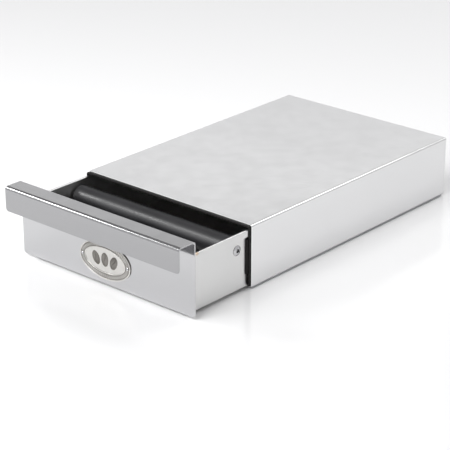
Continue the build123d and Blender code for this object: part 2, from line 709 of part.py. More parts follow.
save(casing_shell(), "casing_shell")
save(back_panel(), "back_panel")
save(back_screws(), "back_screws")
save(back_nuts(), "back_nuts")
save(base_plate(), "base_plate")
save(base_rivets(), "base_rivets")
save(opening_trim(), "opening_trim")
for side, sign in SIDES:
    save(glide_tape(sign), f"glide_tape_{side}")
    save(closing_buffer(sign), f"closing_buffer_{side}")
    save(foot(sign, -1), f"foot_front_{side}")
    save(foot(sign, 1), f"foot_rear_{side}")
    save(runner(sign), f"runner_{side}")
    save(runner_rivets(sign), f"runner_rivets_{side}")
    save(tilt_pad(sign), f"tilt_pad_{side}")
    save(bar_washer(sign), f"bar_washer_{side}")
    save(bar_screw(sign), f"bar_screw_{side}")

save(drawer_front(), "drawer_front")
save(front_studs(), "front_studs")
save(front_nuts(), "front_nuts")
save(tray(), "tray")
save(tray_front_wall(), "tray_front_wall")
save(tray_back_wall(), "tray_back_wall")
save(back_wall_rivets(), "back_wall_rivets")
save(tilt_pad_rivets(), "tilt_pad_rivets")
save(bar_core(), "bar_core")
save(bar_sleeve(), "bar_sleeve")
save(badge_plate(), "badge_plate")
save(badge_bezel(), "badge_bezel")
save(badge_emblem(), "badge_emblem")
save(badge_pins(), "badge_pins")
save(corner_welds(), "corner_welds")
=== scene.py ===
"""An espresso knock box: its sheet steel, rubber, plastic and pewter, built round the CAD frame."""

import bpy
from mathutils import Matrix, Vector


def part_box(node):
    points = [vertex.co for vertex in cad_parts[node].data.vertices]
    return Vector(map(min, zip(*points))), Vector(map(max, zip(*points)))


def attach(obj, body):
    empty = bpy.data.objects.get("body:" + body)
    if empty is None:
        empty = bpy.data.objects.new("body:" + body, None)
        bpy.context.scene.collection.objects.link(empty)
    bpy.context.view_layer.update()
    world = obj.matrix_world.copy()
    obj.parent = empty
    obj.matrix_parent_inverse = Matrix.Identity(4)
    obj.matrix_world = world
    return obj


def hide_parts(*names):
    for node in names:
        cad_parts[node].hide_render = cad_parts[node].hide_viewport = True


bl_info = {
    "name": "Espresso knock box",
    "version": (1, 0, 0),
    "blender": (4, 5, 0),
    "location": "View3D > Sidebar > Knock Box",
    "description": "Makes the drawer, bar, badge, fasteners and finishes of a knock box, and its studio",
    "category": "Add Mesh",
}

from math import pi, radians

import bmesh
import bpy
import numpy as np
from bpy.props import FloatProperty, FloatVectorProperty, IntProperty, PointerProperty
from mathutils import Vector

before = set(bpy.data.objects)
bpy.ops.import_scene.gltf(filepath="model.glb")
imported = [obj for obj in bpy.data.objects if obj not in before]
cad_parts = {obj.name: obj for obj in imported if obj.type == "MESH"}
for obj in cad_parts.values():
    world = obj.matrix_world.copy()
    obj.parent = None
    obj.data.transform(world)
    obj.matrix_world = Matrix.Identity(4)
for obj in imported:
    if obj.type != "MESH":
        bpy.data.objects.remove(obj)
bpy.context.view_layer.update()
MM = 0.001
CASING = "casing"
DRAWER = "drawer"
SIDES = (("left", -1.0), ("right", 1.0))
BEND_STEPS = 10
SUPPORT_GAP = 0.4 * MM


def colour(name, what, default):
    return FloatVectorProperty(
        name=name, description=what, subtype="COLOR", size=3, min=0.0, max=1.0, default=default)


def length(name, what, default):
    return FloatProperty(
        name=name, description=what, unit="LENGTH", subtype="DISTANCE", precision=4, default=default)


def share(name, what, default):
    return FloatProperty(name=name, description=what, subtype="FACTOR", min=0.0, max=1.0, default=default)


# ------------------------------------------------------------------ settings
class KnockBoxSheet(bpy.types.PropertyGroup):
    """Sizes of the bent sheets, and how their edges are dressed"""

    front_thickness: length("Front thickness", "Sheet thickness of the drawer front", 1.5 * MM)
    front_back_bend: length("Rear bend", "Outer radius where the panel turns forwards", 3.5 * MM)
    front_lip_bend: length("Lip bend", "Outer radius where the flange turns down into the lip", 4.0 * MM)
    front_corner: length("Corner radius", "Radius of the sheet's free corners", 4.0 * MM)
    lip_height: length("Lip height", "How far the lip hangs below the flange", 29.5 * MM)
    tray_thickness: length("Tray thickness", "Sheet thickness of the tray", 1.0 * MM)
    tray_bend: length("Tray bend", "Inner radius between the tray's floor and its sides", 1.5 * MM)
    hem_gap: length("Hem gap", "Gap inside the open hem along each rim", 1.0 * MM)
    hem_height: length("Hem height", "Height of the folded hem", 8.0 * MM)
    edge_round: length("Edge rounding", "How far the cut edges are dressed", 0.22 * MM)


class KnockBoxBar(bpy.types.PropertyGroup):
    """Sizes of the knock bar, the screws and the weld beads"""

    sleeve_end_round: length("Sleeve end", "Radius of the rounding at the sleeve's ends", 1.2 * MM)
    bore_gap: length("Bore gap", "Gap between the steel rod and the sleeve's bore", 0.05 * MM)
    dent_count: IntProperty(name="Dents", description="Number of dents in the sleeve", min=0, default=26)
    narrow_dent: length("Narrow dent", "Half the width of the narrowest dents", 3.0 * MM)
    wide_dent: length("Wide dent", "Half the width of the widest dents", 8.0 * MM)
    shallow_dent: length("Shallow dent", "Depth of the shallowest dents", 0.03 * MM)
    deep_dent: length("Deep dent", "Depth of the deepest dents", 0.09 * MM)
    socket_flats: length("Socket flats", "Width across the flats of the screws' sockets", 4.0 * MM)
    bar_socket_depth: length("Bar socket depth", "Depth of the sockets in the bar's screws", 1.3 * MM)
    bar_shank_radius: length("Bar screw shank", "Radius of the shanks of the bar's screws", 3.0 * MM)
    back_socket_depth: length("Back socket depth", "Depth of the sockets in the back's screws", 1.1 * MM)
    back_shank_radius: length("Back screw shank", "Radius of the shanks of the back's screws", 2.0 * MM)
    back_screw_head: length("Back screw head", "Width of the heads of the screws on the back", 7.6 * MM)
    back_screw_offset: length("Back screw offset", "From a side screw to the top row's end", 22.0 * MM)
    back_screw_spacing: length("Back screw spacing", "Between the two screws down each side", 32.0 * MM)
    weld_length: length("Weld length", "Length of a weld bead", 6.0 * MM)


class KnockBoxFinish(bpy.types.PropertyGroup):
    """Colours and polish of the object's finishes"""

    casing_steel: colour("Casing steel", "Colour of the casing's satin steel", (0.75, 0.75, 0.755))
    front_steel: colour("Front steel", "Colour of the drawer front's polished steel", (0.56, 0.56, 0.57))
    tray_steel: colour("Tray steel", "Colour of the tray's rolled steel", (0.71, 0.71, 0.705))
    zinc: colour("Zinc plate", "Colour of the plated fasteners and the base plate", (0.50, 0.51, 0.53))
    bright: colour("Bright steel", "Colour of the polished screws and pins", (0.55, 0.55, 0.56))
    rubber: colour("Bar rubber", "Colour of the knock bar's sleeve", (0.008, 0.008, 0.0098))
    plastic: colour("Black plastic", "Colour of the runners, pads and mouth trim", (0.009, 0.0085, 0.0085))
    pewter: colour("Pewter", "Colour of the badge's polished high spots", (0.56, 0.55, 0.53))
    patina: colour("Patina", "Colour in the hollows of the badge", (0.16, 0.15, 0.135))
    heat_tint: colour("Heat tint", "Colour that welding leaves on the steel beside it", (0.62, 0.36, 0.13))
    weld_blue: colour("Weld blue", "Colour of the hottest places on a weld bead", (0.30, 0.30, 0.42))
    # Painted highlight: the near-white colour of the casing's mouth edge stands in for the bright line the
    # light draws there.
    painted_edge_highlight: colour("Rubbed edge", "Colour of the cut edge round the casing's mouth", (0.97, 0.97, 0.97))
    tape: colour("White tape", "Colour of the slippery strips", (0.82, 0.82, 0.80))
    scuffed_tape: colour("Scuffed tape", "Colour of the strips where they are scuffed", (0.62, 0.61, 0.58))
    casing_roughness: share("Casing roughness", "Roughness of the casing's steel", 0.20)
    front_roughness: share("Front roughness", "Roughness of the drawer front's steel", 0.10)
    # Painted shade: the flange and lip are coloured darker than the panel, where the surroundings they
    # reflect are dimmer.
    flange_painted_shade: share("Flange shade", "Lightness of the brushed flange against the panel", 0.79)
    lip_painted_shade: share("Lip shade", "Lightness of the brushed lip against the panel", 0.70)
    brushed_dulling: share("Brushed dulling", "How much rougher the flange and lip are than the panel", 0.12)
    tray_roughness: share("Tray roughness", "Roughness of the tray's steel", 0.34)
    rubber_roughness: share("Rubber roughness", "Roughness of the knock bar's sleeve", 0.36)
    plastic_roughness: share("Plastic roughness", "Roughness of the black moulded plastic", 0.60)
    foot_roughness: share("Foot roughness", "Roughness of the rubber feet", 0.65)


class KnockBoxBadge(bpy.types.PropertyGroup):
    """Sizes of the oval badge"""

    border: length("Border", "Width of the border round the field", 8.5 * MM)
    field_height: length("Field height", "Thickness of the badge at the edge of its field", 0.8 * MM)
    band_height: length("Band height", "Thickness of the badge under the twisted band", 1.05 * MM)
    rim_height: length("Rim height", "Thickness of the badge at its two rims", 1.5 * MM)
    field_dome: length("Field dome", "How far the middle of the field is raised", 0.12 * MM)
    twist_count: IntProperty(
        name="Twists", description="Number of lobes in the twisted band", min=8, default=64)
    twist_height: length("Twist height", "How far the twisted band stands out of the border", 0.35 * MM)
    bean_length: length("Bean length", "Length of a coffee bean", 16.5 * MM)
    bean_width: length("Bean width", "Width of a coffee bean", 11.0 * MM)
    bean_height: length("Bean height", "How far a bean stands out of the field", 0.85 * MM)
    bean_spacing: length("Bean spacing", "Distance between the middles of two beans", 13.6 * MM)
    bean_fan: FloatProperty(
        name="Bean fan", description="How far the outer beans lean", subtype="ANGLE", default=radians(24))
    bean_lift: length("Bean lift", "How far the middle bean is above the badge's middle", 1.0 * MM)
    outer_bean_drop: length("Outer bean drop", "How far the outer beans are below the middle one", 0.8 * MM)
    crease_width: length("Crease width", "Half the width of the crease down a bean", 0.5 * MM)
    pin_radius: length("Pin radius", "Radius of a pin's round head", 1.9 * MM)


class KnockBoxStudio(bpy.types.PropertyGroup):
    """Camera, floor and light"""

    camera_place: FloatVectorProperty(
        name="Camera place", description="Where the camera stands", subtype="TRANSLATION", unit="LENGTH",
        size=3, default=(1.2621, -1.46235, 0.8189))
    camera_turn: FloatVectorProperty(
        name="Camera turn", description="How the camera is turned", subtype="EULER", unit="ROTATION",
        size=3, default=(radians(67.103), 0.0, radians(41.268)))
    focal_length: FloatProperty(name="Focal length", description="Camera lens", unit="CAMERA", default=139.7)
    floor_half: length("Floor half size", "Half the width of the floor", 6.0)
    floor: colour("Floor", "Colour of the floor", (0.94, 0.94, 0.945))
    floor_roughness: share("Floor roughness", "Roughness of the floor", 0.14)
    floor_gloss: share("Floor gloss", "Strength of the floor's reflections", 0.9)
    sky_strength: FloatProperty(
        name="Sky strength", description="Brightness of the surroundings", min=0.0, default=1.09)
    key_power: FloatProperty(
        name="Key power", description="Power that each softbox has a share of", unit="POWER", default=31.0)


SETTINGS = {
    "knock_box_sheet": KnockBoxSheet,
    "knock_box_bar": KnockBoxBar,
    "knock_box_finish": KnockBoxFinish,
    "knock_box_badge": KnockBoxBadge,
    "knock_box_studio": KnockBoxStudio,
}


# ------------------------------------------------------------------ surfaces
def line_through(corners, radii, arc_steps):
    """A line of straight runs joined by tangent arcs, as dense points.

    Each corner is left where it is r times the tangent of half the turn away, and its arc is the start
    point turned about the centre, which stands r to the inner side of the run.
    """
    corners = [np.array(c, float) for c in corners]
    points = [corners[0][None]]
    for before, corner, after, radius in zip(corners, corners[1:], corners[2:], radii):
        arriving = (corner - before) / np.linalg.norm(corner - before)
        leaving = (after - corner) / np.linalg.norm(after - corner)
        turn = np.arctan2(arriving[0] * leaving[1] - arriving[1] * leaving[0], arriving @ leaving)
        start = corner - arriving * radius * np.tan(abs(turn) / 2)
        inward = np.array([-arriving[1], arriving[0]]) * np.sign(turn)
        centre = start + inward * radius
        angle = np.linspace(0, turn, arc_steps + 1)[:, None]
        spoke = start - centre
        across = np.array([-spoke[1], spoke[0]])
        points.append(centre + spoke * np.cos(angle) + across * np.sin(angle))
    points.append(corners[-1][None])
    return np.concatenate(points)


def distances(line):
    """How far along the line each of its points is."""
    return np.concatenate([[0.0], np.cumsum(np.linalg.norm(np.diff(line, axis=0), axis=1))])


def with_support(line, gap):
    """The line with points added close to both ends of every run that is much longer than gap.

    They hold the shading of a flat run flat right up to its bend.
    """
    along = distances(line)
    runs = np.flatnonzero(np.diff(along) > 4 * gap)
    extra = np.concatenate([along[runs] + gap, along[runs + 1] - gap])
    places = np.unique(np.concatenate([along, extra]))
    return np.stack([np.interp(places, along, line[:, i]) for i in range(line.shape[1])], axis=1)


def surface(name, grids, closed=True, sharp=35, relief=None):
    """A mesh from grids of points, each an array of rows by columns by xyz with its own UV in metres.

    Neighbouring points are joined by quads, and points that coincide at seams and poles are merged.
    """
    vertices, faces, uvs = [], [], []
    first = 0
    for points, uv in grids:
        rows, columns = points.shape[:2]
        index = first + np.arange(rows * columns).reshape(rows, columns)
        quads = np.stack([index[:-1, :-1], index[1:, :-1], index[1:, 1:], index[:-1, 1:]], axis=-1)
        vertices.append(points.reshape(-1, 3))
        faces.append(quads.reshape(-1, 4))
        uvs.append(np.broadcast_to(uv, (rows, columns, 2)).reshape(-1, 2))
        first += rows * columns
    faces = np.concatenate(faces)
    mesh = bpy.data.meshes.new(name)
    mesh.from_pydata(np.concatenate(vertices).tolist(), [], faces.tolist())
    layer = mesh.uv_layers.new(name="sheet")
    layer.data.foreach_set("uv", np.concatenate(uvs)[faces.ravel()].ravel())
    if relief is not None:
        mesh.attributes.new("relief", "FLOAT", "POINT").data.foreach_set("value", relief.ravel())
    work = bmesh.new()
    work.from_mesh(mesh)
    bmesh.ops.remove_doubles(work, verts=work.verts, dist=1e-6)
    if closed:
        bmesh.ops.recalc_face_normals(work, faces=work.faces)
    work.to_mesh(mesh)
    work.free()
    mesh.shade_smooth()
    mesh.set_sharp_from_angle(angle=radians(sharp))
    return mesh


def piece(name, mesh, body, slot, material, *nodes):
    """Puts a mesh into the scene as a piece that rides on a body and stands for CAD nodes."""
    made = bpy.data.objects.new(name, mesh)
    bpy.context.scene.collection.objects.link(made)
    mesh.materials.append(material)
    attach(made, body)
    if nodes:
        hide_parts(*nodes)
    return made


def give_thickness(made, thickness, edge_round):
    """Thickens an open sheet away from its normals, and dresses its cut edges."""
    wall = made.modifiers.new("thickness", "SOLIDIFY")
    wall.thickness = thickness
    wall.offset = -1.0
    wall.use_even_offset = True
    dress_edges(made, edge_round)


def dress_edges(made, edge_round):
    edge = made.modifiers.new("dressed_edges", "BEVEL")
    edge.width = edge_round
    edge.segments = 2
    edge.limit_method = "ANGLE"
    edge.angle_limit = radians(50)
    edge.harden_normals = True


def face_towards(mesh, direction):
    """Turns a sheet's faces over if its first face doesn't point in the direction."""
    if mesh.polygons[0].normal.dot(Vector(direction)) < 0:
        mesh.flip_normals()


def turned(profile, centre, axis, segments):
    """A profile of (radius, height) pairs turned about an axis through the centre.

    Each point is the centre, plus its radius along a spoke at angle t, plus its height along the axis.
    The radii may be a column of values, or differ round the turn.
    """
    along = np.array(axis, float)
    spoke_a = np.array(Vector(axis).orthogonal().normalized())
    spoke_b = np.cross(along, spoke_a)
    t = np.linspace(0, 2 * pi, segments + 1)
    spokes = np.cos(t)[:, None] * spoke_a + np.sin(t)[:, None] * spoke_b
    radius, height = profile
    points = np.array(centre) + radius[..., None] * spokes + height[..., None] * along
    uv = np.stack(np.broadcast_arrays(t * np.max(radius), height), axis=-1)
    return points, uv


def angles(segments):
    return np.linspace(0, 2 * pi, segments + 1)


def socket_screw(centre, axis, head_radius, head_height, across_flats, depth, shank_radius, shank_length):
    """A button-head screw with a hexagon socket, as one turned surface.

    The socket's radius at angle t is half the flats over the cosine of t folded into a sixth of a turn.
    The head is a cap of a sphere, and its rows run from the socket's mouth out to the rim. The relief, 1 on
    the head, is low in the socket and where the head meets the sheet, and paints shade there.
    """
    segments = 96
    t = angles(segments)
    hexagon = across_flats / 2 / np.cos((t + pi / 6) % (pi / 3) - pi / 6)
    sphere = (head_radius**2 + head_height**2) / (2 * head_height)
    rim_round = 0.12 * head_height
    drill_point = 0.25 * across_flats
    mouth = hexagon + 0.05 * across_flats
    mouth_drop = 0.08 * depth

    def cap(radius):
        return head_height - sphere + np.sqrt(sphere**2 - radius**2)

    # Relief values: the low ones in the socket, at its mouth, at the rim and where the head meets the sheet
    # paint shade.
    socket_painted_shade, mouth_painted_shade, rim_painted_shade, seam_painted_shade = 0.0, 0.6, 0.5, 0.1
    head_steps = np.linspace(0, 1, 14)
    on_head = [mouth + (head_radius - rim_round - mouth) * step for step in head_steps]
    head_relief = [mouth_painted_shade] + [1.0] * (len(on_head) - 2) + [rim_painted_shade]
    rows = [
        (0.0, head_height - depth - drill_point, socket_painted_shade),
        (hexagon * 0.96, head_height - depth, socket_painted_shade),
        (hexagon, head_height - depth * 0.9, socket_painted_shade),
        (hexagon, cap(hexagon) - mouth_drop, socket_painted_shade),
    ]
    rows += [(radius, cap(radius), unshaded) for radius, unshaded in zip(on_head, head_relief)]
    rows += [(head_radius, rim_round, seam_painted_shade), (head_radius, 0.0, seam_painted_shade)]
    rows += [(shank_radius, 0.0, seam_painted_shade), (shank_radius, -shank_length, seam_painted_shade), (0.0, -shank_length, seam_painted_shade)]
    radius, height, relief = (np.array([np.broadcast_to(row[i], t.shape) for row in rows]) for i in range(3))
    return turned((radius, height), centre, axis, segments), relief


def round_head(centre, axis, radius, height):
    """A low round head: a cap of a sphere on a short upright edge, closed flat underneath."""
    edge = 0.15 * height
    rise = height - edge
    sphere = (radius**2 + rise**2) / (2 * rise)
    slope = np.linspace(0, np.arcsin(min(1.0, radius / sphere)), 12)
    spread = np.concatenate([sphere * np.sin(slope), [radius, 0.0]])
    up = np.concatenate([edge + rise - sphere + sphere * np.cos(slope), [0.0, 0.0]])
    return turned((spread[:, None], up[:, None]), centre, axis, 40)


# ------------------------------------------------------------------ materials
class Recipe:
    """A material being made up, with short calls that add its nodes and join them."""

    def __init__(self, name):
        self.material = bpy.data.materials.new(name)
        self.material.use_nodes = True
        self.tree = self.material.node_tree
        self.shader = self.tree.nodes["Principled BSDF"]

    def add(self, kind, **settings):
        made = self.tree.nodes.new(kind)
        for key, value in settings.items():
            setattr(made, key, value)
        return made

    def put(self, target, value):
        """Joins a value to a socket, or sets the socket to it where it is a plain number or colour."""
        if isinstance(value, bpy.types.NodeSocket):
            self.tree.links.new(value, target)
        else:
            target.default_value = value

    def fixed(self, **sockets):
        """Sets the shader's own sockets, which are the same all over the surface."""
        for name, value in sockets.items():
            self.shader.inputs[name.replace("_", " ")].default_value = value

    def place(self, *per_metre):
        """The object's own coordinates, stretched by one number or by one for each axis.

        A noise laid over them has about that many cells in a metre.
        """
        mapping = self.add("ShaderNodeMapping")
        self.put(mapping.inputs["Vector"], self.add("ShaderNodeTexCoord").outputs["Object"])
        scale = per_metre if len(per_metre) == 3 else (per_metre or (1.0,)) * 3
        self.put(mapping.inputs["Scale"], scale)
        return mapping.outputs["Vector"]

    def noise(self, vector, detail=3.0, rough=0.5, bend=0.0):
        made = self.add("ShaderNodeTexNoise")
        self.put(made.inputs["Vector"], vector)
        for key, value in (("Scale", 1.0), ("Detail", detail), ("Roughness", rough), ("Distortion", bend)):
            self.put(made.inputs[key], value)
        return made.outputs["Fac"]

    def spread(self, value, low, high, start=0.3, end=0.7):
        """The value between start and end, stretched to run from low to high."""
        made = self.add("ShaderNodeMapRange")
        self.put(made.inputs["Value"], value)
        for key, number in (("From Min", start), ("From Max", end), ("To Min", low), ("To Max", high)):
            self.put(made.inputs[key], number)
        return made.outputs["Result"]

    def plus(self, a, b):
        made = self.add("ShaderNodeMath", operation="ADD")
        self.put(made.inputs[0], a)
        self.put(made.inputs[1], b)
        return made.outputs["Value"]

    def mix(self, factor, a, b):
        made = self.add("ShaderNodeMix", data_type="RGBA")
        for socket, value in ((0, factor), (6, a), (7, b)):
            self.put(made.inputs[socket], value)
        return made.outputs[2]

    def bump(self, height, depth):
        made = self.add("ShaderNodeBump")
        made.inputs["Strength"].default_value = 1.0
        made.inputs["Distance"].default_value = depth
        self.put(made.inputs["Height"], height)
        return made.outputs["Normal"]

    def along(self, axis):
        """How far a point is along one of the object's axes."""
        split = self.add("ShaderNodeSeparateXYZ")
        self.put(split.inputs["Vector"], self.place())
        return split.outputs[axis]

    def now(self, name):
        """What is joined to one of the shader's sockets so far."""
        return self.shader.inputs[name].links[0].from_socket

    def colour(self, value):
        self.put(self.shader.inputs["Base Color"], value)

    def roughness(self, value):
        self.put(self.shader.inputs["Roughness"], value)

    def normal(self, value):
        self.put(self.shader.inputs["Normal"], value)


def shade(tint, factor):
    """The tint made lighter or darker, as a colour with full alpha."""
    return tuple(min(1.0, c * factor) for c in tint) + (1.0,)


# How fine the grain of a rolled sheet is along x, y and z, by the way the sheet was rolled
GRAIN = {"x": (26.0, 2600.0, 2600.0), "y": (2600.0, 26.0, 2600.0)}


def sheet_steel(name, tint, roughness, grain, grain_depth, grain_shade):
    """Rolled stainless sheet: fine grain along one way, faint handling marks, and a slow change of polish."""
    steel = Recipe(name)
    steel.fixed(Metallic=1.0)
    lines = steel.noise(steel.place(*GRAIN[grain]), detail=4.0, rough=0.6)
    cloud = steel.noise(steel.place(7), detail=4.0, rough=0.55, bend=0.4)
    marks = steel.noise(steel.place(60), detail=2.0)
    colours = steel.mix(lines, shade(tint, 1 - grain_shade), shade(tint, 1 + grain_shade))
    steel.colour(steel.mix(steel.spread(cloud, 0.0, 0.2), colours, shade(tint, 0.95)))
    polish = steel.spread(cloud, roughness * 0.96, roughness * 1.05)
    polish = steel.plus(polish, steel.spread(lines, -0.01, 0.012))
    steel.roughness(steel.plus(polish, steel.spread(marks, -0.01, 0.015)))
    steel.normal(steel.bump(lines, grain_depth))
    return steel


def casing_steel(finish):
    """The casing's satin sheet, whose cut edge round the mouth is coloured near white as a painted highlight.
    """
    steel = sheet_steel("casing_satin_steel", finish.casing_steel, finish.casing_roughness, "y",
                        grain_depth=0.0008 * MM, grain_shade=0.012)
    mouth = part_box("casing_shell")[0].y
    # Painted highlight: the mouth's cut edge is coloured near white.
    rubbed = steel.spread(steel.along("Y"), 1.0, 0.0, mouth + 0.4 * MM, mouth + 1.6 * MM)
    steel.colour(steel.mix(rubbed, steel.now("Base Color"), shade(finish.painted_edge_highlight, 1.0)))
    return steel.material


def front_steel(finish):
    """The drawer front's sheet: a polished panel, and a flange and lip brushed dull along their length and
    darkened with painted shade.

    The shade and the dulling follow the distance along the sheet from the panel's lower edge.
    """
    steel = sheet_steel("front_polished_steel", finish.front_steel, finish.front_roughness, "x",
                        grain_depth=0.0004 * MM, grain_shade=0.015)
    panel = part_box("drawer_front")
    height, depth = panel[1].z - panel[0].z, panel[1].y - panel[0].y
    split = steel.add("ShaderNodeSeparateXYZ")
    steel.put(split.inputs["Vector"], steel.add("ShaderNodeUVMap", uv_map="sheet").outputs["UV"])
    along = split.outputs["Y"]
    # Painted shade on the flange and lip colours; the dulling below is their real, rougher brushing.
    onto_flange = steel.spread(along, 0.0, 1.0, height - 4 * MM, height + 1 * MM)
    onto_lip = steel.spread(along, 0.0, 1.0, height + depth - 7 * MM, height + depth - 1 * MM)
    flange = shade(finish.front_steel, finish.flange_painted_shade)
    lip = shade(finish.front_steel, finish.lip_painted_shade)
    steel.colour(steel.mix(onto_flange, steel.now("Base Color"), steel.mix(onto_lip, flange, lip)))
    dulling = steel.spread(onto_flange, 0.0, finish.brushed_dulling, 0, 1)
    steel.roughness(steel.plus(steel.now("Roughness"), dulling))
    return steel.material


def tray_steel(finish):
    """The tray's sheet, with a straw-coloured heat tint on each rim, where the front wall's flange ends."""
    steel = sheet_steel("tray_rolled_steel", finish.tray_steel, finish.tray_roughness, "y",
                        grain_depth=0.0005 * MM, grain_shade=0.008)
    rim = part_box("tray")[1]
    mirrored = steel.add("ShaderNodeVectorMath", operation="ABSOLUTE")
    steel.put(mirrored.inputs[0], steel.place())
    reach = steel.add("ShaderNodeVectorMath", operation="DISTANCE")
    steel.put(reach.inputs[0], mirrored.outputs["Vector"])
    reach.inputs[1].default_value = (rim.x, -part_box("tray_front_wall")[1].y, rim.z)
    tint = steel.spread(reach.outputs["Value"], 0.55, 0.0, 1.0 * MM, 4.0 * MM)
    steel.colour(steel.mix(tint, steel.now("Base Color"), shade(finish.heat_tint, 1.0)))
    return steel.material


def zinc_plate(finish):
    """Zinc plating: small spangles under a patchy dull film."""
    zinc = Recipe("zinc_plate")
    zinc.fixed(Metallic=1.0)
    spangle = zinc.add("ShaderNodeTexVoronoi")
    zinc.put(spangle.inputs["Vector"], zinc.place(220))
    dull = zinc.noise(zinc.place(35), detail=3.0)
    zinc.colour(zinc.mix(zinc.spread(dull, 0, 0.6), shade(finish.zinc, 1.1), shade(finish.zinc, 0.75)))
    zinc.roughness(zinc.plus(zinc.spread(spangle.outputs["Distance"], 0.28, 0.4, 0.0, 1.0),
                              zinc.spread(dull, -0.03, 0.05)))
    zinc.normal(zinc.bump(dull, 0.02 * MM))
    return zinc.material


def bright_steel(finish):
    """Polished turned steel with rubbed spots, darkened with painted shade where the relief attribute is low.
    """
    steel = Recipe("bright_turned_steel")
    steel.fixed(Metallic=1.0)
    relief = steel.add("ShaderNodeAttribute", attribute_name="relief").outputs["Fac"]
    rub = steel.noise(steel.place(400), detail=3.0)
    unshaded = steel.mix(rub, shade(finish.bright, 0.92), shade(finish.bright, 1.06))
    # Painted shade: where the relief is low the colour falls to 0.08 of the steel's.
    steel.colour(steel.mix(relief, shade(finish.bright, 0.08), unshaded))
    steel.roughness(steel.plus(steel.spread(rub, 0.06, 0.12), steel.spread(relief, 0.3, 0.0, 0, 1)))
    steel.normal(steel.bump(rub, 0.004 * MM))
    return steel.material


def bar_rubber(finish):
    """Dense rubber: a fine moulded skin, dusty rubbed patches and slight smears."""
    rubber = Recipe("knock_bar_rubber")
    rubber.fixed(Specular_IOR_Level=0.9)
    skin = rubber.noise(rubber.place(900), detail=3.0)
    rub = rubber.noise(rubber.place(16, 45, 45), detail=5.0, rough=0.6, bend=0.5)
    dust = rubber.spread(rub, 0.0, 0.4)
    rubber.colour(rubber.mix(dust, shade(finish.rubber, 0.9), shade(finish.rubber, 1.9)))
    rubber.roughness(rubber.plus(rubber.spread(rub, finish.rubber_roughness * 0.9,
                                                       finish.rubber_roughness * 1.25),
                                  rubber.spread(skin, -0.02, 0.03)))
    rubber.normal(rubber.bump(skin, 0.012 * MM))
    return rubber.material


def moulded_black(name, tint, roughness, texture_depth):
    """Black moulded plastic or rubber: spark-eroded texture with rubbed, shinier patches."""
    black = Recipe(name)
    black.fixed(Specular_IOR_Level=0.2)
    texture = black.noise(black.place(1400), detail=2.0)
    rubbed = black.noise(black.place(25), detail=3.0)
    black.colour(black.mix(rubbed, shade(tint, 0.85), shade(tint, 1.5)))
    black.roughness(black.plus(black.spread(rubbed, roughness * 0.85, roughness * 1.15),
                                black.spread(texture, -0.03, 0.03)))
    black.normal(black.bump(texture, texture_depth))
    return black.material


def white_tape(finish):
    """Slippery tape with fine fibres along its length, grey where it is scuffed."""
    tape = Recipe("slippery_white_tape")
    fibre = tape.noise(tape.place(900, 60, 900), detail=3.0)
    scuff = tape.noise(tape.place(30, 8, 30), detail=4.0)
    scuffed = tape.spread(scuff, 0, 0.5)
    tape.colour(tape.mix(scuffed, shade(finish.tape, 1.0), shade(finish.scuffed_tape, 1.0)))
    tape.roughness(tape.spread(fibre, 0.38, 0.5))
    tape.normal(tape.bump(fibre, 0.01 * MM))
    return tape.material


def pewter(finish):
    """Cast pewter, dark in its hollows and rubbed bright on its high spots, by the relief attribute."""
    metal = Recipe("badge_pewter")
    metal.fixed(Metallic=1.0)
    relief = metal.add("ShaderNodeAttribute", attribute_name="relief").outputs["Fac"]
    cast = metal.noise(metal.place(900), detail=4.0, rough=0.6)
    stain = metal.noise(metal.place(120), detail=3.0)
    worn = metal.plus(relief, metal.spread(stain, -0.08, 0.08))
    metal.colour(metal.mix(metal.spread(worn, 0.0, 1.0, 0.1, 0.9), shade(finish.patina, 1.0),
                           shade(finish.pewter, 1.2)))
    metal.roughness(metal.spread(worn, 0.5, 0.24, 0.1, 0.9))
    metal.normal(metal.bump(cast, 0.02 * MM))
    return metal.material


def weld_metal(finish):
    """Weld metal, straw to blue from the heat."""
    metal = Recipe("heat_tinted_weld")
    metal.fixed(Metallic=1.0)
    heat = metal.noise(metal.place(260, 260, 420), detail=2.0)
    hottest = metal.spread(heat, 0, 1)
    metal.colour(metal.mix(hottest, shade(finish.heat_tint, 1.0), shade(finish.weld_blue, 1.0)))
    metal.roughness(metal.spread(heat, 0.28, 0.42))
    metal.normal(metal.bump(heat, 0.02 * MM))
    return metal.material


FINISHES = {}


def finishes(scene):
    """Every finish by its slot in the record, made once."""
    finish = scene.knock_box_finish
    if not FINISHES:
        FINISHES.update({
            "casing_steel": casing_steel(finish),
            "front_steel": front_steel(finish),
            "tray_steel": tray_steel(finish),
            "zinc_steel": zinc_plate(finish),
            "bright_screws": bright_steel(finish),
            "black_plastic": moulded_black(
                "black_moulded_plastic", finish.plastic, finish.plastic_roughness, 0.008 * MM),
            "white_plastic": white_tape(finish),
            "bar_rubber": bar_rubber(finish),
            "foot_rubber": moulded_black(
                "black_foot_rubber", finish.plastic, finish.foot_roughness, 0.02 * MM),
            "badge_metal": pewter(finish),
            "weld_steel": weld_metal(finish),
        })
    return FINISHES


# ------------------------------------------------------------------ operators
class KNOCKBOX_OT_finish_frame(bpy.types.Operator):
    """Give every part of the frame its finish"""

    bl_idname = "knockbox.finish_frame"
    bl_label = "Finish the Frame"

    def execute(self, context):
        made = finishes(context.scene)
        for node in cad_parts.values():
            for place in node.material_slots:
                place.material = made[place.material.name]
        return {"FINISHED"}


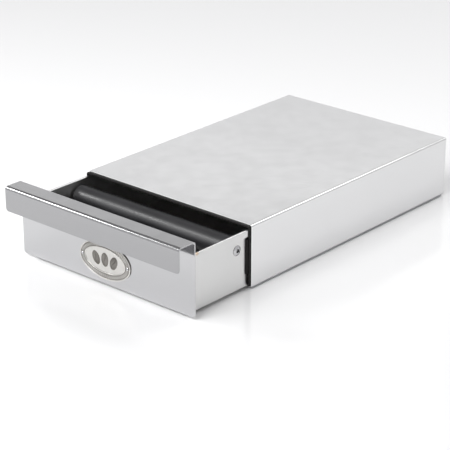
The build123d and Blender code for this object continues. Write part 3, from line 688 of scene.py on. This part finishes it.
class KNOCKBOX_OT_drawer_front(bpy.types.Operator):
    """Make the drawer front: panel, top flange and hanging lip in one bent sheet"""

    bl_idname = "knockbox.drawer_front"
    bl_label = "Drawer Front"

    def execute(self, context):
        sizes = context.scene.knock_box_sheet
        low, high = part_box("drawer_front")
        corners = [(high.y, low.z), (high.y, high.z), (low.y, high.z), (low.y, high.z - sizes.lip_height)]
        line = line_through(corners, (sizes.front_back_bend, sizes.front_lip_bend), BEND_STEPS)
        line = with_support(line, SUPPORT_GAP)
        grid = self.cut_out(line, high.x, sizes.front_corner)
        mesh = surface("drawer_front_sheet", [grid], closed=False)
        face_towards(mesh, (0, 1, 0))
        made = piece("drawer_front_sheet", mesh, DRAWER, "front_steel",
                     finishes(context.scene)["front_steel"], "drawer_front")
        give_thickness(made, sizes.front_thickness, sizes.edge_round)
        return {"FINISHED"}

    @staticmethod
    def cut_out(line, half_width, corner):
        """The bent line carried across the width, narrower near its ends so that the corners are round.

        At a distance s below the corner radius r from an end, half the width is less by r minus the
        square root of r squared minus (r - s) squared.
        """
        along = distances(line)
        turn = np.linspace(0, pi / 2, 9)
        near = corner * (1 - np.cos(turn))
        places = np.unique(np.concatenate([along, near, along[-1] - near]))
        bent = np.stack([np.interp(places, along, line[:, i]) for i in (0, 1)], axis=1)
        s = np.minimum(places, along[-1] - places)
        missing = np.clip(corner - s, 0, None)
        half = half_width - corner + np.sqrt(corner**2 - missing**2)
        across = np.linspace(-1, 1, 49)
        x = half[:, None] * across
        points = np.stack([x, *(np.broadcast_to(bent[:, i, None], x.shape) for i in (0, 1))], axis=-1)
        return points, np.stack(np.broadcast_arrays(x, places[:, None]), axis=-1)


class KNOCKBOX_OT_tray(bpy.types.Operator):
    """Make the tray: floor, sides and hemmed rims in one bent sheet"""

    bl_idname = "knockbox.tray"
    bl_label = "Tray"

    def execute(self, context):
        sizes = context.scene.knock_box_sheet
        low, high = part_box("tray")
        wall = high.x - 2 * sizes.tray_thickness - sizes.hem_gap
        floor = low.z + sizes.tray_thickness
        # A hair under half the hem's width, which keeps a short straight run between its two bends.
        fold = (2 * sizes.tray_thickness + sizes.hem_gap) / 2 * 0.995
        hem = high.z - sizes.hem_height
        half = [(high.x, hem), (high.x, high.z), (wall, high.z), (wall, floor)]
        corners = [(-x, z) for x, z in half] + [(x, z) for x, z in reversed(half)]
        radii = (fold, fold, sizes.tray_bend, sizes.tray_bend, fold, fold)
        line = with_support(line_through(corners, radii, BEND_STEPS), SUPPORT_GAP)
        y = np.linspace(low.y, high.y, 41)
        x, depth = np.broadcast_arrays(line[:, 0, None], y)
        points = np.stack([x, depth, np.broadcast_to(line[:, 1, None], x.shape)], axis=-1)
        uv = np.stack(np.broadcast_arrays(distances(line)[:, None], y), axis=-1)
        mesh = surface("tray_sheet", [(points, uv)], closed=False)
        face_towards(mesh, (-1, 0, 0))
        made = piece("tray_sheet", mesh, DRAWER, "tray_steel", finishes(context.scene)["tray_steel"], "tray")
        give_thickness(made, sizes.tray_thickness, sizes.edge_round)
        return {"FINISHED"}


class KNOCKBOX_OT_knock_bar(bpy.types.Operator):
    """Make the knock bar's rubber sleeve and the two screws that hold the bar"""

    bl_idname = "knockbox.knock_bar"
    bl_label = "Knock Bar"

    def execute(self, context):
        made = finishes(context.scene)
        mesh = surface("knock_bar_sleeve", [self.sleeve(context.scene.knock_box_bar)])
        piece("knock_bar_sleeve", mesh, DRAWER, "bar_rubber", made["bar_rubber"], "bar_sleeve")
        for side, sign in SIDES:
            self.screw(context.scene, side, sign, made["bright_screws"])
        return {"FINISHED"}

    @staticmethod
    def sleeve(sizes):
        """A tube whose section is carried round the bar's axis.

        The outer radius at place x and angle t is the bar's radius less a few shallow dents, each the
        exponential of minus the squared distance from its middle.
        """
        low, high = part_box("bar_sleeve")
        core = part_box("bar_core")[1]
        centre = (low + high) / 2
        outer = (high.z - low.z) / 2
        bore = core.z - centre.z + sizes.bore_gap
        end = high.x
        corner = sizes.sleeve_end_round
        section = [(-end, bore), (-end, outer), (end, outer), (end, bore), (-end, bore)]
        line = line_through(section, (corner, corner, 0.0), 6)
        along = distances(line)
        places = np.unique(np.concatenate([along, np.linspace(0, along[-1], 260)]))
        x, radius = (np.interp(places, along, line[:, i]) for i in (0, 1))
        segments = 128
        t = angles(segments)
        depth = np.zeros((len(x), segments + 1))
        rng = np.random.default_rng(4)
        for _ in range(sizes.dent_count):
            at = rng.uniform(-0.8, 0.8) * end
            turn = rng.uniform(0, 2 * pi)
            size = rng.uniform(sizes.narrow_dent, sizes.wide_dent)
            round_bar = outer * ((t - turn + pi) % (2 * pi) - pi)
            reach = ((x[:, None] - at) / size) ** 2 + (round_bar / size) ** 2
            depth += rng.uniform(sizes.shallow_dent, sizes.deep_dent) * np.exp(-reach)
        outside = np.clip((radius - outer + corner) / corner, 0, 1)[:, None]
        shaped = radius[:, None] - outside * depth
        return turned((shaped, np.broadcast_to(x[:, None], shaped.shape)),
                      (0.0, centre.y, centre.z), (1.0, 0.0, 0.0), segments)

    @staticmethod
    def screw(scene, side, sign, material):
        """One of the bar's screws, its head on the outside of the tray's wall and its shank inwards."""
        sizes, sheet = scene.knock_box_bar, scene.knock_box_sheet
        node = f"bar_screw_{side}"
        low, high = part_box(node)
        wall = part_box("tray")[1].x - sheet.tray_thickness - sheet.hem_gap
        outermost, innermost = sorted((abs(low.x), abs(high.x)), reverse=True)
        middle = (low + high) / 2
        centre = (sign * wall, middle.y, middle.z)
        grid, relief = socket_screw(
            centre, (sign, 0, 0), (high.z - low.z) / 2, outermost - wall,
            sizes.socket_flats, sizes.bar_socket_depth, sizes.bar_shank_radius, wall - innermost)
        mesh = surface(node, [grid], sharp=30, relief=relief)
        piece(f"knock_bar_screw_{side}", mesh, DRAWER, "bright_screws", material, node)


class KNOCKBOX_OT_back_screws(bpy.types.Operator):
    """Make the seven button-head screws that hold the back panel"""

    bl_idname = "knockbox.back_screws"
    bl_label = "Back Screws"

    def execute(self, context):
        sizes = context.scene.knock_box_bar
        low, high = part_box("back_screws")
        radius = sizes.back_screw_head / 2
        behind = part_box("casing_shell")[1].y
        side, top, bottom = high.x - radius, high.z - radius, low.z + radius
        along_top = side - sizes.back_screw_offset
        places = [(x, top) for x in (-along_top, 0.0, along_top)]
        places += [(x, bottom + rise) for rise in (0.0, sizes.back_screw_spacing) for x in (-side, side)]
        made = [
            socket_screw(
                (x, behind, z), (0, 1, 0), radius, high.y - behind,
                sizes.socket_flats, sizes.back_socket_depth, sizes.back_shank_radius, behind - low.y)
            for x, z in places]
        relief = np.stack([unshaded for _, unshaded in made])
        mesh = surface("back_panel_screws", [grid for grid, _ in made], sharp=30, relief=relief)
        material = finishes(context.scene)["bright_screws"]
        piece("back_panel_screws", mesh, CASING, "bright_screws", material, "back_screws")
        return {"FINISHED"}


class KNOCKBOX_OT_welds(bpy.types.Operator):
    """Make the rippled weld beads between the drawer front and the tray's sides"""

    bl_idname = "knockbox.welds"
    bl_label = "Weld Beads"

    def execute(self, context):
        low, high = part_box("corner_welds")
        radius = high.y - low.y
        wall = high.x - radius
        length = context.scene.knock_box_bar.weld_length
        grids = [self.bead(sign, wall, low.y, middle, radius, length)
                 for _, sign in SIDES for middle in (low.z + length / 2, high.z - length / 2)]
        mesh = surface("weld_beads", grids)
        piece("weld_beads", mesh, DRAWER, "weld_steel", finishes(context.scene)["weld_steel"], "corner_welds")
        return {"FINISHED"}

    @staticmethod
    def bead(sign, wall, panel, middle, radius, length):
        """A quarter-round bead in a corner, from the wall round to the panel.

        Its radius along the bead is the full radius times the fourth root of one minus the distance from
        the middle to the fourth power, less 12 in a hundred at the top of each ripple, which is
        half a sine wave.
        """
        along = np.linspace(-1, 1, 61)
        ripple = 1 - 0.12 * np.abs(np.sin(4 * pi * along))
        reach = radius * ripple * np.clip(1 - along**4, 0, 1) ** 0.25
        turn = np.linspace(0, pi / 2, 13)
        x = sign * (wall + reach[:, None] * np.sin(turn))
        y = panel + reach[:, None] * np.cos(turn)
        z = np.broadcast_to(middle + along[:, None] * length / 2, x.shape)
        skin = np.stack([x, y, z], axis=-1)
        corner = np.stack([0 * x[:, :1] + sign * wall, 0 * x[:, :1] + panel, z[:, :1]], axis=-1)
        points = np.concatenate([corner, skin, corner], axis=1)
        return points, points[..., [0, 2]]


class KNOCKBOX_OT_badge(bpy.types.Operator):
    """Make the oval badge with its rims, twisted band, three coffee beans and two pins"""

    bl_idname = "knockbox.badge"
    bl_label = "Badge"

    def execute(self, context):
        sizes = context.scene.knock_box_badge
        grid, relief = self.plaque(sizes)
        mesh = surface("badge_plaque", [grid], sharp=60, relief=relief)
        material = finishes(context.scene)["badge_metal"]
        piece("badge_plaque", mesh, DRAWER, "badge_metal", material,
              "badge_plate", "badge_bezel", "badge_emblem")
        self.pins(sizes, finishes(context.scene)["bright_screws"])
        return {"FINISHED"}

    @staticmethod
    def plaque(sizes):
        """The badge as a height over an oval, worked out on rings from its edge to its middle.

        In the border a ring at inward distance d has half axes a - d and b - d. Inside it the rings shrink
        evenly to the middle. The height is a sum of half-round rims, a twisted band whose lobes follow the
        sine of the angle times their number plus a slant, and three beans, each an oval dome with a wavy
        crease along it, the outer two leaning out like a fan.
        """
        low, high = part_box("badge_plate")
        centre = (low + high) / 2
        half_a, half_b = (high.x - low.x) / 2, (high.z - low.z) / 2
        border = sizes.border
        t = angles(640)
        d = border * np.linspace(0, 1, 61)
        k = np.linspace(1, 0, 71)[1:]
        ring_a = np.concatenate([half_a - d, (half_a - border) * k])
        ring_b = np.concatenate([half_b - d, (half_b - border) * k])
        inward = np.concatenate([d, np.full(len(k), border)])[:, None]
        x = ring_a[:, None] * np.cos(t)
        z = ring_b[:, None] * np.sin(t)

        def ridge(middle, width):
            """A half-round ridge: the square root of one minus the squared distance from its middle."""
            return np.sqrt(np.clip(1 - ((inward - middle) / (width / 2)) ** 2, 0, 1))

        field = sizes.field_height + sizes.field_dome * (1 - (x / half_a) ** 2 - (z / half_b) ** 2)
        in_border = inward < border * 0.999
        height = np.where(in_border, sizes.band_height, field)
        # Places and widths across the border are shares of its width.
        outer_rim = ridge(0.09 * border, 0.18 * border)
        inner_rim = ridge(0.93 * border, 0.16 * border)
        rims = np.maximum(outer_rim, inner_rim)
        in_band = np.clip(1 - ((inward - 0.52 * border) / (0.27 * border)) ** 2, 0, 1) ** 0.5
        lobes = 0.5 + 0.5 * np.sin(sizes.twist_count * t + 3.0 * (inward / border - 0.5) * pi)
        band = in_band * lobes**0.6
        rim_rise = sizes.rim_height - sizes.band_height
        height = height + in_border * (rims * rim_rise + band * sizes.twist_height)
        bean, crease = 0 * x, 0 * x
        for step in (-1, 0, 1):
            lean = pi / 2 - step * sizes.bean_fan
            aside = x - step * sizes.bean_spacing
            up = z - sizes.bean_lift + abs(step) * sizes.outer_bean_drop
            u = aside * np.cos(lean) + up * np.sin(lean)
            v = up * np.cos(lean) - aside * np.sin(lean)
            inside = np.clip(1 - (2 * u / sizes.bean_length) ** 2 - (2 * v / sizes.bean_width) ** 2, 0, 1)
            wave = -0.10 * sizes.bean_width * np.sin(2.2 * pi * u / sizes.bean_length)
            bean = bean + inside**0.45
            crease = crease + np.exp(-(((v - wave) / sizes.crease_width) ** 2)) * np.clip(inside * 6, 0, 1)
        height = height + bean * sizes.bean_height * (1 - 0.8 * crease)
        height[0] = 0.0
        height[1] = np.maximum(height[1], 0.5 * sizes.rim_height)
        x[1], z[1] = x[0], z[0]
        relief = np.where(in_border, np.maximum(rims * 1.1, 0.18 + 0.55 * band),
                          np.where(bean > 0, 0.26 * bean * (1 - crease), 0.92))
        points = np.stack([x + centre.x, high.y - height, z + centre.z], axis=-1)
        back = np.stack([0 * x[:1] + centre.x, 0 * x[:1] + high.y, 0 * z[:1] + centre.z], axis=-1)
        points = np.concatenate([back, points])
        relief = np.concatenate([relief[:1], relief])
        uv = np.stack([points[..., 0], points[..., 2]], axis=-1)
        return (points, uv), relief

    @staticmethod
    def pins(sizes, material):
        low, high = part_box("badge_pins")
        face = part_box("badge_bezel")[0].y
        middle = (low + high) / 2
        aside = high.x - sizes.pin_radius
        grids = [
            round_head((sign * aside, face, middle.z), (0, -1, 0), sizes.pin_radius, face - low.y)
            for _, sign in SIDES]
        rows, columns = grids[0][0].shape[:2]
        unshaded = np.ones((len(grids), rows, columns))
        # Painted shade: the last rows, at the rim of each pin's head where it meets the badge, get a low
        # relief.
        unshaded[:, -3:] = 0.1
        mesh = surface("badge_pin_heads", grids, relief=unshaded)
        piece("badge_pin_heads", mesh, DRAWER, "bright_screws", material, "badge_pins")


class KNOCKBOX_OT_studio(bpy.types.Operator):
    """Make the floor, the light and the camera"""

    bl_idname = "knockbox.studio"
    bl_label = "Studio"

    def execute(self, context):
        studio = context.scene.knock_box_studio
        self.floor(studio)
        self.sky(context.scene, studio)
        self.softboxes(studio)
        self.camera(context.scene, studio)
        context.scene.view_settings.view_transform = "Standard"
        return {"FINISHED"}

    @staticmethod
    def floor(studio):
        half = studio.floor_half
        side = np.array([-half, half])
        x, y = np.meshgrid(side, side, indexing="ij")
        points = np.stack([x, y, 0 * x], axis=-1)
        mesh = surface("floor", [(points, points[..., :2])], closed=False)
        face_towards(mesh, (0, 0, 1))
        floor = bpy.data.objects.new("floor", mesh)
        bpy.context.scene.collection.objects.link(floor)
        paint = Recipe("pale_floor")
        paint.colour(shade(studio.floor, 1.0))
        paint.fixed(Roughness=studio.floor_roughness, Specular_IOR_Level=studio.floor_gloss)
        mesh.materials.append(paint.material)

    @staticmethod
    def sky(scene, studio):
        """Soft surroundings, by the height of the direction looked in: brightest low down, dim overhead."""
        world = bpy.data.worlds.new("soft_surroundings")
        world.use_nodes = True
        scene.world = world
        tree = world.node_tree
        where = tree.nodes.new("ShaderNodeTexCoord")
        split = tree.nodes.new("ShaderNodeSeparateXYZ")
        ramp = tree.nodes.new("ShaderNodeValToRGB")
        tree.links.new(where.outputs["Generated"], split.inputs["Vector"])
        tree.links.new(split.outputs["Z"], ramp.inputs["Fac"])
        steps = ramp.color_ramp.elements
        steps[0].position, steps[0].color = 0.30, (0.64, 0.64, 0.65, 1)
        steps[1].position, steps[1].color = 0.37, (1.22, 1.22, 1.22, 1)
        for position, level in ((0.415, 1.2), (0.44, 0.24), (1.0, 0.32)):
            steps.new(position).color = (level, level, level, 1)
        background = tree.nodes["Background"]
        tree.links.new(ramp.outputs["Color"], background.inputs["Color"])
        background.inputs["Strength"].default_value = studio.sky_strength

    @staticmethod
    def softboxes(studio):
        """Three softboxes, each turned to the object, whose powers are shares of the key's."""
        for name, place, size, part in (
            ("left_softbox", (-1.25, -0.91, 1.1), 0.35, 0.17),
            ("front_softbox", (-0.2, -2.0, 1.9), 1.8, 2.1),
            ("rear_softbox", (0.5, 1.6, 1.9), 1.2, 0.45),
        ):
            light = bpy.data.lights.new(name, "AREA")
            light.shape = "SQUARE"
            light.size = size
            light.energy = studio.key_power * part
            lamp = bpy.data.objects.new(name, light)
            lamp.location = place
            lamp.rotation_euler = (-lamp.location).to_track_quat("-Z", "Y").to_euler()
            bpy.context.scene.collection.objects.link(lamp)

    @staticmethod
    def camera(scene, studio):
        eye = bpy.data.cameras.new("product_view")
        eye.lens = studio.focal_length
        eye.sensor_width = 36.0
        camera = bpy.data.objects.new("product_view", eye)
        camera.location = studio.camera_place
        camera.rotation_euler = studio.camera_turn
        scene.collection.objects.link(camera)
        scene.camera = camera


OPERATORS = (
    KNOCKBOX_OT_finish_frame,
    KNOCKBOX_OT_drawer_front,
    KNOCKBOX_OT_tray,
    KNOCKBOX_OT_knock_bar,
    KNOCKBOX_OT_back_screws,
    KNOCKBOX_OT_welds,
    KNOCKBOX_OT_badge,
    KNOCKBOX_OT_studio,
)


class VIEW3D_PT_knock_box(bpy.types.Panel):
    """Lists the steps that make the knock box, and their settings"""

    bl_idname = "VIEW3D_PT_knock_box"
    bl_label = "Knock Box"
    bl_space_type = "VIEW_3D"
    bl_region_type = "UI"
    bl_category = "Knock Box"

    def draw(self, context):
        for operator in OPERATORS:
            self.layout.operator(operator.bl_idname)
        for name, group in SETTINGS.items():
            box = self.layout.box()
            box.label(text=group.__doc__)
            for key in group.__annotations__:
                box.prop(getattr(context.scene, name), key)


def register():
    for name, group in SETTINGS.items():
        bpy.utils.register_class(group)
        setattr(bpy.types.Scene, name, PointerProperty(type=group))
    for operator in OPERATORS:
        bpy.utils.register_class(operator)
    bpy.utils.register_class(VIEW3D_PT_knock_box)


def unregister():
    bpy.utils.unregister_class(VIEW3D_PT_knock_box)
    for operator in reversed(OPERATORS):
        bpy.utils.unregister_class(operator)
    for name, group in reversed(SETTINGS.items()):
        delattr(bpy.types.Scene, name)
        bpy.utils.unregister_class(group)


def main():
    """Registers the classes and makes every piece in order."""
    register()
    for operator in OPERATORS:
        family, step = operator.bl_idname.split(".")
        getattr(getattr(bpy.ops, family), step)()


if __name__ == "__main__":
    main()
